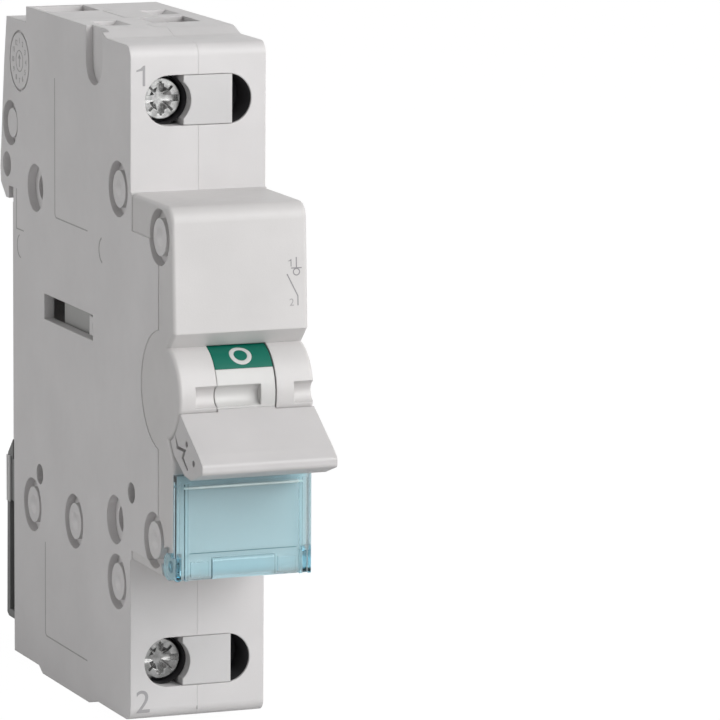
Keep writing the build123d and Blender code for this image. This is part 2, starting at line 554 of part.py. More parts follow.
# The front moulding carries the toggle between its two drum halves
axis = (AXIS_DEPTH, AXIS_HEIGHT)
cover_hinge = (COVER_HINGE_DEPTH, COVER_HINGE_HEIGHT)
fascia_inside = (SIDE_WALL - FASCIA_HALF, FASCIA_HALF - SIDE_WALL)
fascia_back_face = NOSE_DEPTH - NOSE_LEAN - FRONT_WALL
with BuildPart() as front_fascia:
    extrude(fascia_profile, amount=FASCIA_HALF, both=True)
    rims = front_fascia.edges().filter_by(lambda e: abs(e.center().X) > FASCIA_HALF - 0.01)
    fillet(rims.filter_by(lambda e: -e.center().Y > NOSE_DEPTH - 3), FASCIA_ROUND)
    block(fascia_inside, (ARM_BACK + SIDE_WALL, fascia_back_face),
          (NOSE_TOP - ARM_UPPER + SIDE_WALL, NOSE_TOP - SIDE_WALL), Mode.SUBTRACT)
    block(fascia_inside, (PARTING_DEPTH - 1, fascia_back_face),
          (AXIS_HEIGHT + EAR_RADIUS + 1, NOSE_TOP - ARM_UPPER - SIDE_WALL), Mode.SUBTRACT)
    block(fascia_inside, (PARTING_DEPTH - 1, LOWER_FACE_DEPTH - FRONT_WALL - 1.6),
          (NOSE_BOTTOM + 3.4, AXIS_HEIGHT - EAR_RADIUS - 1.6), Mode.SUBTRACT)
    # Room for the rotor and the carriage arm
    middle = (-SLOT_HALF, SLOT_HALF)
    cross_bar(axis, ROTOR_RADIUS + SWEEP_GAP - 0.1, middle, Mode.SUBTRACT)
    block(middle, (AXIS_DEPTH - EAR_RADIUS - 1, AXIS_DEPTH),
          (AXIS_HEIGHT - ROTOR_RADIUS, AXIS_HEIGHT + ROTOR_RADIUS), Mode.SUBTRACT)
    # Trunnion slots, open to the back
    for hand in (-1, 1):
        slot = ordered(hand, SLOT_HALF - 1, TRUNNION_END + GUIDE_PLAY)
        cross_bar(axis, TRUNNION_RADIUS + RUNNING_FIT, slot, Mode.SUBTRACT)
        block(slot, (AXIS_DEPTH - EAR_RADIUS - 1, AXIS_DEPTH),
              (AXIS_HEIGHT - TRUNNION_RADIUS - RUNNING_FIT, AXIS_HEIGHT + TRUNNION_RADIUS + RUNNING_FIT),
              Mode.SUBTRACT)
        for stake in STAKES:
            if stake[0] > SHOULDER_DEPTH:
                cross_bar(stake, STAKE_POST_RADIUS + SEAM, ordered(hand, -0.1, HALF), Mode.SUBTRACT)
                cross_bar(stake, STAKE_RECESS_RADIUS, ordered(hand, HALF - RECESS_DEPTH, HALF), Mode.SUBTRACT)
        # Ear and pin holes of the label cover
        ear_side = ordered(hand, FASCIA_HALF - COVER_EAR_WIDTH - 0.1, HALF)
        cross_bar(cover_hinge, COVER_EAR_RADIUS + 0.8, ear_side, Mode.SUBTRACT)
        cross_bar(cover_hinge, COVER_PIN_RADIUS + RUNNING_FIT,
                  ordered(hand, FASCIA_HALF - COVER_EAR_WIDTH - COVER_PIN_LENGTH - 0.2, HALF), Mode.SUBTRACT)
    # Locking groove across the drum
    groove = (AXIS_DEPTH + DRUM_RADIUS, AXIS_HEIGHT)
    cross_bar(groove, GROOVE_HEIGHT / 2, (GROOVE_END - FASCIA_HALF, 0), Mode.SUBTRACT)
    cross_bar(groove, GROOVE_HEIGHT / 2, (FASCIA_HALF - GROOVE_END - SIDE_PLAY, HALF), Mode.SUBTRACT)
front_fascia.part.label = "front_fascia"
export_step(front_fascia.part, "parts/front_fascia.step")


# Flags let into the rotor: the ring and the stroke are the rotor's own white showing through
slit = (-ROTOR_SLIT / 2, ROTOR_SLIT / 2)


def drum_mark_plane(angle):
    """A plane that faces out of the drum at an angle, just under the flags."""
    outward = (0, -cos(radians(angle)), sin(radians(angle)))
    start = on_drum(ROTOR_RADIUS - 1, angle)
    return Plane(origin=(0, -start[0], start[1]), x_dir=(1, 0, 0), z_dir=outward)


with BuildPart() as off_flag:
    drum_wall(ROTOR_RADIUS - FLAG_DEPTH, ROTOR_RADIUS, FLAG_ANGLES[0], FLAG_ANGLES[1],
              (-ROTOR_HALF, ROTOR_HALF))
    with BuildSketch(drum_mark_plane(MARK_ANGLE)):
        Circle(RING_RADIUS)
        Circle(RING_RADIUS - RING_WIDTH, mode=Mode.SUBTRACT)
    extrude(amount=2, mode=Mode.SUBTRACT)
off_flag.part.label = "off_flag"
export_step(off_flag.part, "parts/off_flag.step")

with BuildPart() as on_flag:
    drum_wall(ROTOR_RADIUS - FLAG_DEPTH, ROTOR_RADIUS, -TOGGLE_SWING - FLAG_ANGLES[1],
              -TOGGLE_SWING - FLAG_ANGLES[0], (-ROTOR_HALF, ROTOR_HALF))
    with BuildSketch(drum_mark_plane(-TOGGLE_SWING - MARK_ANGLE)):
        Rectangle(RING_WIDTH, 2 * RING_RADIUS)
    extrude(amount=2, mode=Mode.SUBTRACT)
on_flag.part.label = "on_flag"
export_step(on_flag.part, "parts/on_flag.step")

with BuildPart() as indicator_rotor:
    cross_bar(axis, ROTOR_RADIUS, (-ROTOR_HALF, ROTOR_HALF))
    cross_bar(axis, ROTOR_RADIUS - ROTOR_SKIN, slit, Mode.SUBTRACT)
    drum_wall(ROTOR_RADIUS - ROTOR_SKIN - 0.5, ROTOR_RADIUS + 1, 80, 210, slit, Mode.SUBTRACT)
    drum_wall(ROTOR_RADIUS - GROOVE_DEPTH - 0.4, ROTOR_RADIUS - ROTOR_SKIN / 2, -20, 20, slit)
    drum_wall(ROTOR_RADIUS - ROTOR_SKIN - 0.5, ROTOR_RADIUS + 1,
              TENON_ANGLES[0] - 1, TENON_ANGLES[1] + 1, slit, Mode.SUBTRACT)
    for hand in (-1, 1):
        cross_bar(axis, TRUNNION_RADIUS, ordered(hand, ROTOR_HALF - 0.5, TRUNNION_END))
    cross_bar(groove, GROOVE_HEIGHT / 2, (-ROTOR_HALF - 1, ROTOR_HALF / 2), Mode.SUBTRACT)
    cross_bar((CRANK_DEPTH, CRANK_HEIGHT), CRANK_PIN_RADIUS + 0.02, (-HALF, HALF), Mode.SUBTRACT)
    add(off_flag.part, mode=Mode.SUBTRACT)
    add(on_flag.part, mode=Mode.SUBTRACT)
indicator_rotor.part.label = "indicator_rotor"
export_step(indicator_rotor.part, "parts/indicator_rotor.step")

with BuildPart() as crank_pin:
    cross_bar((CRANK_DEPTH, CRANK_HEIGHT), CRANK_PIN_RADIUS, (0.1 - ROTOR_HALF, ROTOR_HALF - 0.1))
crank_pin.part.label = "crank_pin"
export_step(crank_pin.part, "parts/crank_pin.step")


# Toggle handle: a broad paddle that swings round the drum, keyed into the rotor
with BuildPart() as toggle_handle:
    with BuildSketch(side_plane(HANDLE_HALF)) as handle_side:
        with BuildLine():
            root = CenterArc(axis, ROTOR_RADIUS, HANDLE_LOW_ANGLE, HANDLE_TOP_ANGLE - HANDLE_LOW_ANGLE)
            tip_height = AXIS_HEIGHT + HANDLE_TIP
            heel_height = AXIS_HEIGHT + HANDLE_HEEL
            Polyline(root @ 1, (HANDLE_REACH - 1.5, tip_height + HANDLE_LIP), (HANDLE_REACH, tip_height),
                     (HANDLE_REACH, tip_height - HANDLE_LIP), (HANDLE_REACH - HEEL_BACK, heel_height),
                     (HANDLE_REACH - HEEL_BACK - 2.1, heel_height + 0.2),
                     on_drum(ROTOR_RADIUS + HANDLE_SHIN, HANDLE_LOW_ANGLE + 2.8), root @ 0)
        make_face()
        fillet(handle_side.vertices().filter_by(lambda v: v.X > HANDLE_REACH - HEEL_BACK - 1), HANDLE_ROUND)
    extrude(amount=2 * HANDLE_HALF)
    for hand in (-1, 1):
        cross_bar(axis, DRUM_RADIUS + SWEEP_GAP, ordered(hand, ROTOR_HALF, HALF + 1), Mode.SUBTRACT)
    drum_wall(ROTOR_RADIUS - ROTOR_SKIN - 0.3, ROTOR_RADIUS + 0.2, TENON_ANGLES[0], TENON_ANGLES[1],
              (GUIDE_PLAY - ROTOR_SLIT / 2, ROTOR_SLIT / 2 - GUIDE_PLAY))
    # Crooked joint and two core holes in each cheek
    low_edge, high_edge = AXIS_HEIGHT - ROTOR_RADIUS, AXIS_HEIGHT - ROTOR_RADIUS * sin(radians(50))
    for hand in (-1, 1):
        cheek = ordered(hand, HANDLE_HALF - CHEEK_SINK, HALF + 1)
        slab([(HANDLE_REACH - 9.5, high_edge), (HANDLE_REACH - 8.3, low_edge), (HANDLE_REACH - 5.6, low_edge),
              (HANDLE_REACH - 6.4, low_edge - 1.1), (HANDLE_REACH - 4.9, low_edge - 2.3),
              (HANDLE_REACH - 5.2, low_edge - 2.5), (HANDLE_REACH - 7.1, low_edge - 1.2),
              (HANDLE_REACH - 6.5, low_edge - CHEEK_SLOT), (HANDLE_REACH - 8.8, low_edge - CHEEK_SLOT)],
             cheek, Mode.SUBTRACT)
        for hole in ((HANDLE_REACH - 3.0, tip_height - HANDLE_LIP / 6), (HANDLE_REACH - 5.4, low_edge + 0.7)):
            cross_bar(hole, CHEEK_SLOT, cheek, Mode.SUBTRACT)
toggle_handle.part.label = "toggle_handle"
export_step(toggle_handle.part, "parts/toggle_handle.step")


# Carriage: the crank pin works in its fork and pushes it back to close the contacts
fork_front = CRANK_DEPTH + CRANK_PIN_RADIUS + FORK_PLAY
fork_back = CRANK_DEPTH - CRANK_PIN_RADIUS - FORK_PLAY
arm_x = (-ARM_HALF, ARM_HALF)
with BuildPart() as carriage:
    block((-CARRIAGE_HALF, CARRIAGE_HALF), (CARRIAGE_BACK, CARRIAGE_FRONT), (CARRIAGE_BOTTOM, CARRIAGE_TOP))
    block((-BRIDGE_HALF_WIDTH - 0.2, BRIDGE_HALF_WIDTH + 0.2), (BRIDGE_BACK, SPRING_END),
          (CARRIAGE_BOTTOM - 1, CARRIAGE_TOP + 1), Mode.SUBTRACT)
    forward_bar((0, BRIDGE_MIDDLE), CONTACT_COIL_RADIUS - 2 * SPRING_WIRE_RADIUS,
                (SPRING_END - CONTACT_SPRING_ROOM / 3, SPRING_END))
    block(arm_x, (CARRIAGE_FRONT - 1, fork_front + FORK_WALL), (CARRIAGE_BOTTOM, ARM_TOP))
    block(arm_x, (fork_front, fork_front + FORK_WALL), (CARRIAGE_BOTTOM, FORK_TOP))
    block(arm_x, (fork_back - FORK_WALL, fork_back), (CARRIAGE_BOTTOM, FORK_TOP))
carriage.part.label = "carriage"
export_step(carriage.part, "parts/carriage.step")

with BuildPart() as bridge_contact:
    block((-BRIDGE_HALF_WIDTH, BRIDGE_HALF_WIDTH), (BRIDGE_BACK, BRIDGE_BACK + BRIDGE_THICKNESS),
          (BRIDGE_MIDDLE - BRIDGE_HALF_LENGTH, BRIDGE_MIDDLE + BRIDGE_HALF_LENGTH))
    fillet(bridge_contact.edges().filter_by(Axis.Y), 1.2)
bridge_contact.part.label = "bridge_contact"
export_step(bridge_contact.part, "parts/bridge_contact.step")

with BuildPart() as bridge_tips:
    for side in (-1, 1):
        forward_bar((0, BRIDGE_MIDDLE + side * TIP_OFFSET), TIP_RADIUS,
                    (BRIDGE_BACK - TIP_THICKNESS, BRIDGE_BACK))
bridge_tips.part.label = "bridge_tips"
export_step(bridge_tips.part, "parts/bridge_tips.step")


def coil(start, direction, length, radius, turns):
    """A compression spring that starts at a point and runs along a direction."""
    wire = SPRING_WIRE_RADIUS
    with BuildPart() as spring:
        with BuildLine() as path:
            Helix(pitch=(length - 2 * wire) / turns, height=length - 2 * wire, radius=radius,
                  center=start + direction * wire, direction=direction)
        with BuildSketch(Plane(origin=path.line @ 0, z_dir=path.line % 0)):
            RegularPolygon(wire, 6)
        sweep()
    return spring


contact_spring = coil(Vector(0, -SPRING_END, BRIDGE_MIDDLE), Vector(0, 1, 0), CONTACT_SPRING_ROOM,
                      CONTACT_COIL_RADIUS, 3.5)
contact_spring.part.label = "contact_spring"
export_step(contact_spring.part, "parts/contact_spring.step")


def make_busbar(tip_height, run, tab_end, outward):
    """Folded strip from a fixed contact to the tab inside a terminal cage."""
    fold = (run, run + outward * BUSBAR_THICKNESS)
    width = (-BUSBAR_HALF_WIDTH, BUSBAR_HALF_WIDTH)
    with BuildPart() as busbar:
        block(width, (BUSBAR_BACK, BUSBAR_FRONT), sorted((tip_height - outward * BUSBAR_END, fold[1])))
        block(width, (BUSBAR_BACK, TAB_FRONT), sorted(fold))
        block((-BUSBAR_HALF_WIDTH, ENTRY_X[1] - SIDE_PLAY), (TAB_BACK, TAB_FRONT), sorted((run, tab_end)))
    return busbar


upper_busbar = make_busbar(BRIDGE_MIDDLE + TIP_OFFSET, UPPER_RUN, UPPER_TERMINAL + CAGE_HALF_HEIGHT, 1)
upper_busbar.part.label = "upper_busbar"
export_step(upper_busbar.part, "parts/upper_busbar.step")

lower_busbar = make_busbar(BRIDGE_MIDDLE - TIP_OFFSET, LOWER_RUN, LOWER_TERMINAL - CAGE_HALF_HEIGHT, -1)
lower_busbar.part.label = "lower_busbar"
export_step(lower_busbar.part, "parts/lower_busbar.step")

with BuildPart() as fixed_tips:
    for side in (-1, 1):
        forward_bar((0, BRIDGE_MIDDLE + side * TIP_OFFSET), TIP_RADIUS, (BUSBAR_FRONT, FIXED_TIP_FACE))
fixed_tips.part.label = "fixed_tips"
export_step(fixed_tips.part, "parts/fixed_tips.step")


def make_screw(level):
    """A terminal screw with a combined cross and slot in its head."""
    seat = WELL_FLOOR + HEAD_SEAT_GAP
    head = seat + SCREW_HEAD_HEIGHT
    with BuildPart() as screw:
        forward_bar((SCREW_X, level), SCREW_HEAD_RADIUS, (seat, head))
        chamfer(screw.faces().sort_by(Axis.Y)[0].edges(), 0.35)
        forward_bar((SCREW_X, level), SCREW_RADIUS, (NUT_BACK + 0.2, seat))
        chamfer(screw.faces().sort_by(Axis.Y)[-1].edges(), 0.5)
        with BuildSketch(Plane.XZ.offset(head)) as recess:
            with Locations((SCREW_X, level)):
                Rectangle(2 * SCREW_HEAD_RADIUS - 0.9, SCREW_SLOT)
                Rectangle(SCREW_CROSS, SCREW_HEAD_RADIUS + SCREW_CROSS)
                with PolarLocations(0, 4, start_angle=45, angular_range=180):
                    Rectangle(2 * SCREW_HEAD_RADIUS - 1.4, SCREW_NOTCH)
        extrude(recess.sketch, amount=-SCREW_HEAD_HEIGHT / 2, mode=Mode.SUBTRACT)
        with Locations(Location((SCREW_X, -head, level), (90, 0, 0))):
            Cone(0.4, 1.5, 1.0, align=(Align.CENTER, Align.CENTER, Align.MAX), mode=Mode.SUBTRACT)
    return screw


upper_terminal_screw = make_screw(UPPER_TERMINAL)
upper_terminal_screw.part.label = "upper_terminal_screw"
export_step(upper_terminal_screw.part, "parts/upper_terminal_screw.step")

lower_terminal_screw = make_screw(LOWER_TERMINAL)
lower_terminal_screw.part.label = "lower_terminal_screw"
export_step(lower_terminal_screw.part, "parts/lower_terminal_screw.step")


def make_cage(level):
    """The clamp cage: a nut bar in front, a clamping bar behind and two thin sides."""
    height = (level - CAGE_HALF_HEIGHT, level + CAGE_HALF_HEIGHT)
    with BuildPart() as cage:
        block((-CAGE_HALF, CAGE_HALF), (CAGE_BACK, CAGE_FRONT), height)
        fillet(cage.edges().filter_by(Axis.Z), 0.8)
        block((CAGE_SIDE - CAGE_HALF, CAGE_HALF - CAGE_SIDE), (BAR_FRONT, NUT_BACK),
              (height[0] - 1, height[1] + 1), Mode.SUBTRACT)
        forward_bar((SCREW_X, level), SCREW_RADIUS + RUNNING_FIT, (NUT_BACK - 1, CAGE_FRONT + 1),
                    Mode.SUBTRACT)
    return cage


upper_clamp_cage = make_cage(UPPER_TERMINAL)
upper_clamp_cage.part.label = "upper_clamp_cage"
export_step(upper_clamp_cage.part, "parts/upper_clamp_cage.step")

lower_clamp_cage = make_cage(LOWER_TERMINAL)
lower_clamp_cage.part.label = "lower_clamp_cage"
export_step(lower_clamp_cage.part, "parts/lower_clamp_cage.step")


def make_insert(level):
    """The block that stands in a terminal opening beside the screw head."""
    with BuildPart() as insert:
        block((SCREW_X + INSERT_LEFT, INSERT_RIGHT), (WELL_FLOOR, SHOULDER_DEPTH),
              (level - WELL_HALF_HEIGHT + SEAM / 2, level + WELL_HALF_HEIGHT - SEAM / 2))
        forward_bar((SCREW_X, level), WELL_HALF_HEIGHT - SEAM / 2,
                    (WELL_FLOOR - 1, SHOULDER_DEPTH + 1), Mode.SUBTRACT)
    return insert


upper_terminal_insert = make_insert(UPPER_TERMINAL)
upper_terminal_insert.part.label = "upper_terminal_insert"
export_step(upper_terminal_insert.part, "parts/upper_terminal_insert.step")

lower_terminal_insert = make_insert(LOWER_TERMINAL)
lower_terminal_insert.part.label = "lower_terminal_insert"
export_step(lower_terminal_insert.part, "parts/lower_terminal_insert.step")


# Transparent label cover, hinged at its lower corners
with BuildPart() as label_cover:
    block((-FASCIA_HALF, FASCIA_HALF), (COVER_BACK, COVER_BACK + COVER_PANE), (COVER_BOTTOM, COVER_TOP))
    # Raised rim: a top band, two ribs down each side, and a roll between two tiles at the foot
    rim_depths = (COVER_BACK, COVER_FRONT)
    block((-FASCIA_HALF, FASCIA_HALF), rim_depths, (COVER_TOP - COVER_EDGE_BAND, COVER_TOP))
    roll_half = FASCIA_HALF - COVER_EDGE_BAND - 2 * COVER_RIB - COVER_TILE
    block((-roll_half, roll_half), rim_depths, (COVER_BOTTOM, COVER_ROLL_TOP))
    fillet(label_cover.edges().filter_by(Axis.X).group_by(Axis.Y)[0].filter_by(
        lambda e: e.center().Z < COVER_ROLL_TOP + 0.1), COVER_RIB)
    for hand in (-1, 1):
        for inner in (FASCIA_HALF - COVER_RIB, FASCIA_HALF - COVER_EDGE_BAND - COVER_RIB):
            block(ordered(hand, inner, inner + COVER_RIB), rim_depths, (COVER_BOTTOM, COVER_TOP))
        tile = ordered(hand, roll_half + COVER_RIB, roll_half + COVER_TILE)
        block(tile, (COVER_BACK, COVER_FRONT - COVER_RIB / 2),
              (COVER_BOTTOM + COVER_RIB, COVER_ROLL_TOP - COVER_RIB))
        ear = ordered(hand, FASCIA_HALF - COVER_EAR_WIDTH, FASCIA_HALF)
        cross_bar(cover_hinge, COVER_EAR_RADIUS, ear)
        block(ear, (COVER_HINGE_DEPTH, COVER_BACK + 0.5),
              (COVER_HINGE_HEIGHT - COVER_EAR_RADIUS + 0.35, COVER_HINGE_HEIGHT + COVER_EAR_RADIUS - 0.3))
        pin = ordered(hand, FASCIA_HALF - COVER_EAR_WIDTH - COVER_PIN_LENGTH, FASCIA_HALF - 0.1)
        cross_bar(cover_hinge, COVER_PIN_RADIUS, pin)
label_cover.part.label = "label_cover"
export_step(label_cover.part, "parts/label_cover.step")


# Sprung clip that grips the lower edge of the rail
lip_top = CLIP_BITE - RAIL_EDGE
lip_end = -RAIL_EDGE - 0.4
clip_plate_x = (-CLIP_HALF_WIDTH, CLIP_HALF_WIDTH)
head_depths = (CLIP_STEM_DEPTH, CLIP_STEM_DEPTH + CLIP_HEAD_DEPTH)
spring_depth = CLIP_STEM_DEPTH + CLIP_HEAD_DEPTH / 2
spring_top = CLIP_HEAD_TOP - 6.5
with BuildPart() as rail_clip:
    slab([(-CLIP_FACE, lip_top), (-CLIP_FACE - 2.0, lip_top - 2.0), (-3.5, -18.0),
          (-CLIP_BACK, CLIP_BOTTOM + 0.4), (0.7 - CLIP_BACK, CLIP_BOTTOM), (-GUIDE_PLAY, CLIP_BOTTOM),
          (-GUIDE_PLAY, lip_end), (-CLIP_FACE, lip_end)], clip_plate_x)
    block((-CLIP_STEM_HALF, CLIP_STEM_HALF), (-GUIDE_PLAY - 0.1, head_depths[0] + 0.1),
          (CLIP_HEAD_BOTTOM, CLIP_HEAD_TOP))
    block((-CLIP_HEAD_HALF, CLIP_HEAD_HALF), head_depths, (CLIP_HEAD_BOTTOM, CLIP_HEAD_TOP))
    with Locations((0, -spring_depth, (CLIP_HEAD_BOTTOM + spring_top) / 2)):
        Cylinder(CLIP_SPRING_RADIUS + 2 * SPRING_WIRE_RADIUS, spring_top - CLIP_HEAD_BOTTOM,
                 mode=Mode.SUBTRACT)
    for hand in (-1, 1):
        block(ordered(hand, CLIP_STEM_HALF + 1, HALF), (1.2 - CLIP_BACK, 0.1),
              (CLIP_BOTTOM + 1, lip_end - 5.5), Mode.SUBTRACT)
    # Grooves that leave ribs beside the gripping lip
    for depth in (CLIP_FACE + 0.3, CLIP_FACE + 0.3 + 2 * CLIP_RIB_GROOVE):
        for hand in (-1, 1):
            block(ordered(hand, CLIP_HALF_WIDTH - CLIP_RIB_GROOVE, HALF), (-depth - CLIP_RIB_GROOVE, -depth),
                  (lip_top - CLIP_LIP_RIBS, lip_top - 2.3), Mode.SUBTRACT)
rail_clip.part.label = "rail_clip"
export_step(rail_clip.part, "parts/rail_clip.step")

clip_spring = coil(Vector(0, -spring_depth, CLIP_SPRING_FLOOR), Vector(0, 0, 1),
                   spring_top - CLIP_SPRING_FLOOR, CLIP_SPRING_RADIUS, 5)
clip_spring.part.label = "clip_spring"
export_step(clip_spring.part, "parts/clip_spring.step")

with BuildPart() as shell_stakes:
    # The hidden shanks are six-sided, which saves faces
    with BuildSketch(Plane.YZ):
        with Locations([(-depth, height) for depth, height in STAKES]):
            RegularPolygon(STAKE_RADIUS, 6)
    extrude(amount=HALF - RECESS_DEPTH, both=True)
    for stake in STAKES:
        cross_bar(stake, STAKE_HEAD_RADIUS, (HEAD_SINK - HALF, RECESS_DEPTH - HALF))
        cross_bar(stake, STAKE_HEAD_RADIUS, (HALF - RECESS_DEPTH, HALF - HEAD_SINK))
        for hand in (-1, 1):
            with Locations(Location((hand * (HALF - HEAD_SINK), -stake[0], stake[1]), (0, hand * 90, 0))):
                Cone(DIMPLE_RADIUS / 3, DIMPLE_RADIUS, DIMPLE_DEPTH,
                     align=(Align.CENTER, Align.CENTER, Align.MAX), mode=Mode.SUBTRACT)
shell_stakes.part.label = "shell_stakes"
export_step(shell_stakes.part, "parts/shell_stakes.step")
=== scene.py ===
# %% [markdown]
# # A rail-mounted switch disconnector
# This lesson dresses a small electrical switch that clips on a mounting rail. The solids come
# from a CAD model, already at their real size in metres. Blender adds what a CAD file doesn't
# hold: the feel of moulded plastic, bright screws, a clear cover, printed marks and light.

# %% Load the solids
import math

import bmesh
import bpy
from mathutils import Matrix, Vector


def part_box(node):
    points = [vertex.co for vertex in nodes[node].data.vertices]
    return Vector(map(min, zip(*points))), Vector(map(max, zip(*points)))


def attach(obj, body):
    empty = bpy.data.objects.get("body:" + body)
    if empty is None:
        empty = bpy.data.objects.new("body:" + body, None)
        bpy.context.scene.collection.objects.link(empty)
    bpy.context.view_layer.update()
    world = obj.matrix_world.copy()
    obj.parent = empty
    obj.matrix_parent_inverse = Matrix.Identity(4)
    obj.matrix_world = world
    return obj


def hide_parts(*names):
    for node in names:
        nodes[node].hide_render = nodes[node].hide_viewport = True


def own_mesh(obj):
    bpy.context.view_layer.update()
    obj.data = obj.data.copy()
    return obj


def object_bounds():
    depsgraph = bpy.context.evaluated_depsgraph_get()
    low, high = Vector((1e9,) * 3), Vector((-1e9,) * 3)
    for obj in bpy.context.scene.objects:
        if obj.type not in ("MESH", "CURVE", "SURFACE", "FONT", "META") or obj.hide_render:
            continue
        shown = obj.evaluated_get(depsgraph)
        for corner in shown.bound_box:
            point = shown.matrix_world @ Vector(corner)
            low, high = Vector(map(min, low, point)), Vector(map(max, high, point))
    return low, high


MM = 1000  # millimetres in a metre

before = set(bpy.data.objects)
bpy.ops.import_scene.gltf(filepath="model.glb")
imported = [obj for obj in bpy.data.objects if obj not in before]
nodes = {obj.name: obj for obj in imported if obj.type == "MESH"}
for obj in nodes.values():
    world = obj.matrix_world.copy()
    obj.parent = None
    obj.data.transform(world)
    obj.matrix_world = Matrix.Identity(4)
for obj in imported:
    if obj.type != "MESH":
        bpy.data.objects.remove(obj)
cad_low, cad_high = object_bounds()
print("CAD nodes:", len(nodes), "size in mm:", [round(MM * v, 1) for v in cad_high - cad_low])

# %% [markdown]
# ## Materials
# Moulded plastic is never one flat colour. The mould leaves a fine grain that scatters light,
# the gloss drifts a little over each face, and edges are softly rounded by the tool. One helper
# makes all of that from noise textures that read Object coordinates, so each piece only chooses
# its colour, grain and gloss. The Bevel node rounds the edges for the light without more
# triangles.

# %% Helpers that wire nodes
def node_adder(tree):
    """Returns a function that adds nodes to a tree."""
    def fill(socket, value):
        if isinstance(value, bpy.types.NodeSocket):
            tree.links.new(value, socket)
        else:
            socket.default_value = value

    def add(kind, *numbered, **named):
        """Adds a node. Its inputs are given in order or by name, as values or as outputs."""
        node = tree.nodes.new(kind)
        for socket, value in zip(node.inputs, numbered):
            fill(socket, value)
        for name, value in named.items():
            fill(node.inputs[name.replace("_", " ")], value)
        return node

    return add


def new_material(name):
    """An empty node material and the function that adds and links its nodes."""
    material = bpy.data.materials.new(name)
    material.use_nodes = True
    material.node_tree.nodes.clear()
    return material, node_adder(material.node_tree)


def soft_edges(add, radius):
    """The surface direction near an edge, as if the edge were rounded."""
    bevel = add("ShaderNodeBevel", Radius=radius)
    bevel.samples = 4
    return bevel.outputs["Normal"]


# %% Moulded plastic
NOISE_RANGE = {"From_Min": 0.3, "From_Max": 0.7}  # most of what a noise texture gives
TONE_DRIFT = 0.04
PLASTIC_GLOSS = (-0.10, 0.12)  # how far the roughness drifts
GRAIN_HEIGHT = 0.00002  # metres


def moulded_plastic(name, colour, rough=0.46, grain=0.5, edge=0.00022, shine=0.5):
    """Plastic with mould grain, slow tone drift, uneven gloss and rounded edges."""
    material, add = new_material(name)
    place = add("ShaderNodeTexCoord").outputs["Object"]
    fine = add("ShaderNodeTexNoise", Vector=place, Scale=5200.0, Detail=3.0)
    slow = add("ShaderNodeTexNoise", Vector=place, Scale=90.0, Detail=4.0)
    scuffs = add("ShaderNodeTexNoise", Vector=place, Scale=700.0, Detail=6.0, Distortion=0.6)
    tone = add("ShaderNodeMapRange", Value=slow.outputs["Fac"], **NOISE_RANGE,
               To_Min=1.0 - TONE_DRIFT, To_Max=1.0 + TONE_DRIFT)
    shade = add("ShaderNodeHueSaturation", Value=tone.outputs["Result"], Color=(*colour, 1.0))
    gloss = add("ShaderNodeMapRange", Value=scuffs.outputs["Fac"],
                To_Min=rough + PLASTIC_GLOSS[0], To_Max=rough + PLASTIC_GLOSS[1])
    bump = add("ShaderNodeBump", Height=fine.outputs["Fac"], Strength=grain,
               Distance=GRAIN_HEIGHT, Normal=soft_edges(add, edge))
    shader = add("ShaderNodeBsdfPrincipled", Base_Color=shade.outputs["Color"],
                 Roughness=gloss.outputs["Result"], Normal=bump.outputs["Normal"], IOR=1.5,
                 Specular_IOR_Level=shine)
    add("ShaderNodeOutputMaterial", Surface=shader.outputs["BSDF"])
    return material


shell_grey = moulded_plastic("shell_grey", (0.66, 0.645, 0.645))
fascia_grey = moulded_plastic("fascia_grey", (0.62, 0.605, 0.60), rough=0.42)
handle_grey = moulded_plastic("handle_grey", (0.59, 0.575, 0.575), rough=0.40)
rotor_white = moulded_plastic("rotor_white", (0.61, 0.605, 0.595), rough=0.38, grain=0.3)
flag_green = moulded_plastic("flag_green", (0.002, 0.138, 0.094), rough=0.40, grain=0.25,
                             shine=0.25)
flag_red = moulded_plastic("flag_red", (0.55, 0.02, 0.018), rough=0.40, grain=0.25, shine=0.25)
insert_grey = moulded_plastic("insert_grey", (0.60, 0.59, 0.59), rough=0.44, grain=0.3)
slide_grey = moulded_plastic("slide_grey", (0.42, 0.42, 0.41), rough=0.5)
clip_dark = moulded_plastic("clip_dark", (0.19, 0.19, 0.19), rough=0.5)
plastics = (shell_grey, fascia_grey, handle_grey, rotor_white, flag_green, flag_red,
            insert_grey, slide_grey, clip_dark)
print("plastics:", [plastic.name for plastic in plastics])

# %% [markdown]
# ## Metals
# The screws are nickel plated: bright, with fine turning rings on the head. Contact strips are
# copper with rolling lines. Stretching a noise texture along one axis gives such lines.

# %% Brushed and plated metal
METAL_GLOSS = (-0.08, 0.14)  # how far the roughness drifts
FINE_EDGE = 0.00012  # metres


